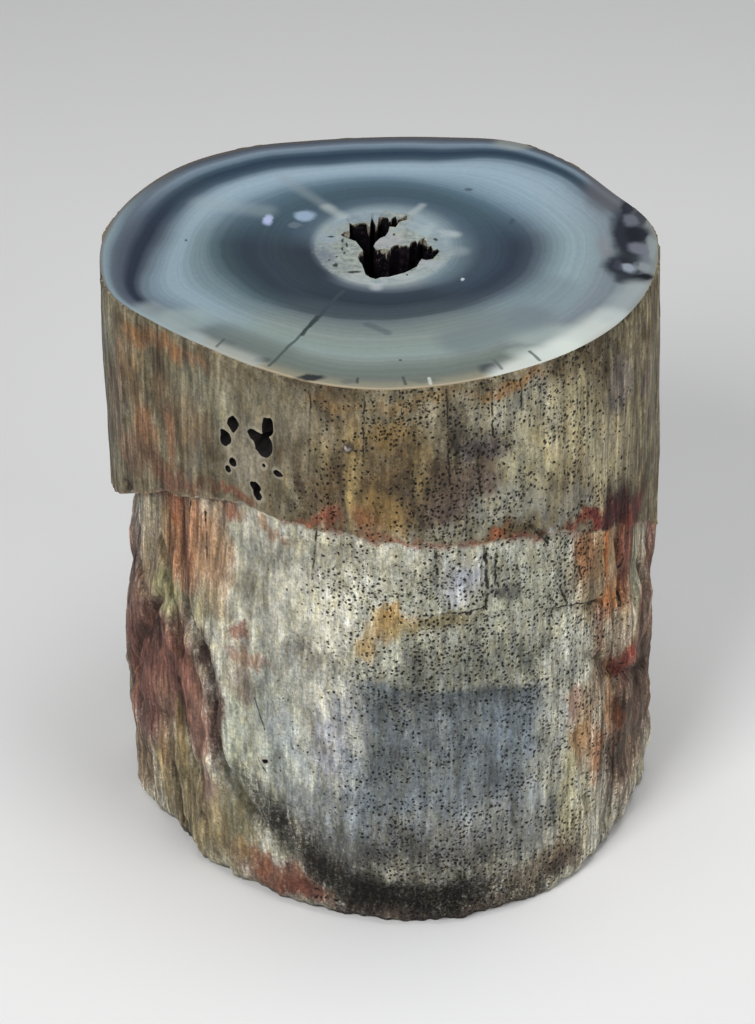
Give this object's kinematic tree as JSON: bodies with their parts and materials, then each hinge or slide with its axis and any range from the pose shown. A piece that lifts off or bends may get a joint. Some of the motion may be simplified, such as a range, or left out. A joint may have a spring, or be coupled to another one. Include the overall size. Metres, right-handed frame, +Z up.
{
  "type": "petrified wood log",
  "caption": "Upright length of petrified log with a sawn, polished top, weathered bark-side faces and a crystal-lined cavity at its heart.",
  "frame": {"origin": "centre of the log's box at its foot, where it stands", "axes": "+Z up along the log, towards the polished top; -Y towards the side with the nearly level fracture and the borings"},
  "size_m": [0.1862, 0.1716, 0.21],
  "materials": {
    "petrified_wood": "polished agate top, weathered natural sides"
  },
  "bodies": {
    "root": {"petrified_log": "petrified_wood"}
  },
  "joints": []
}
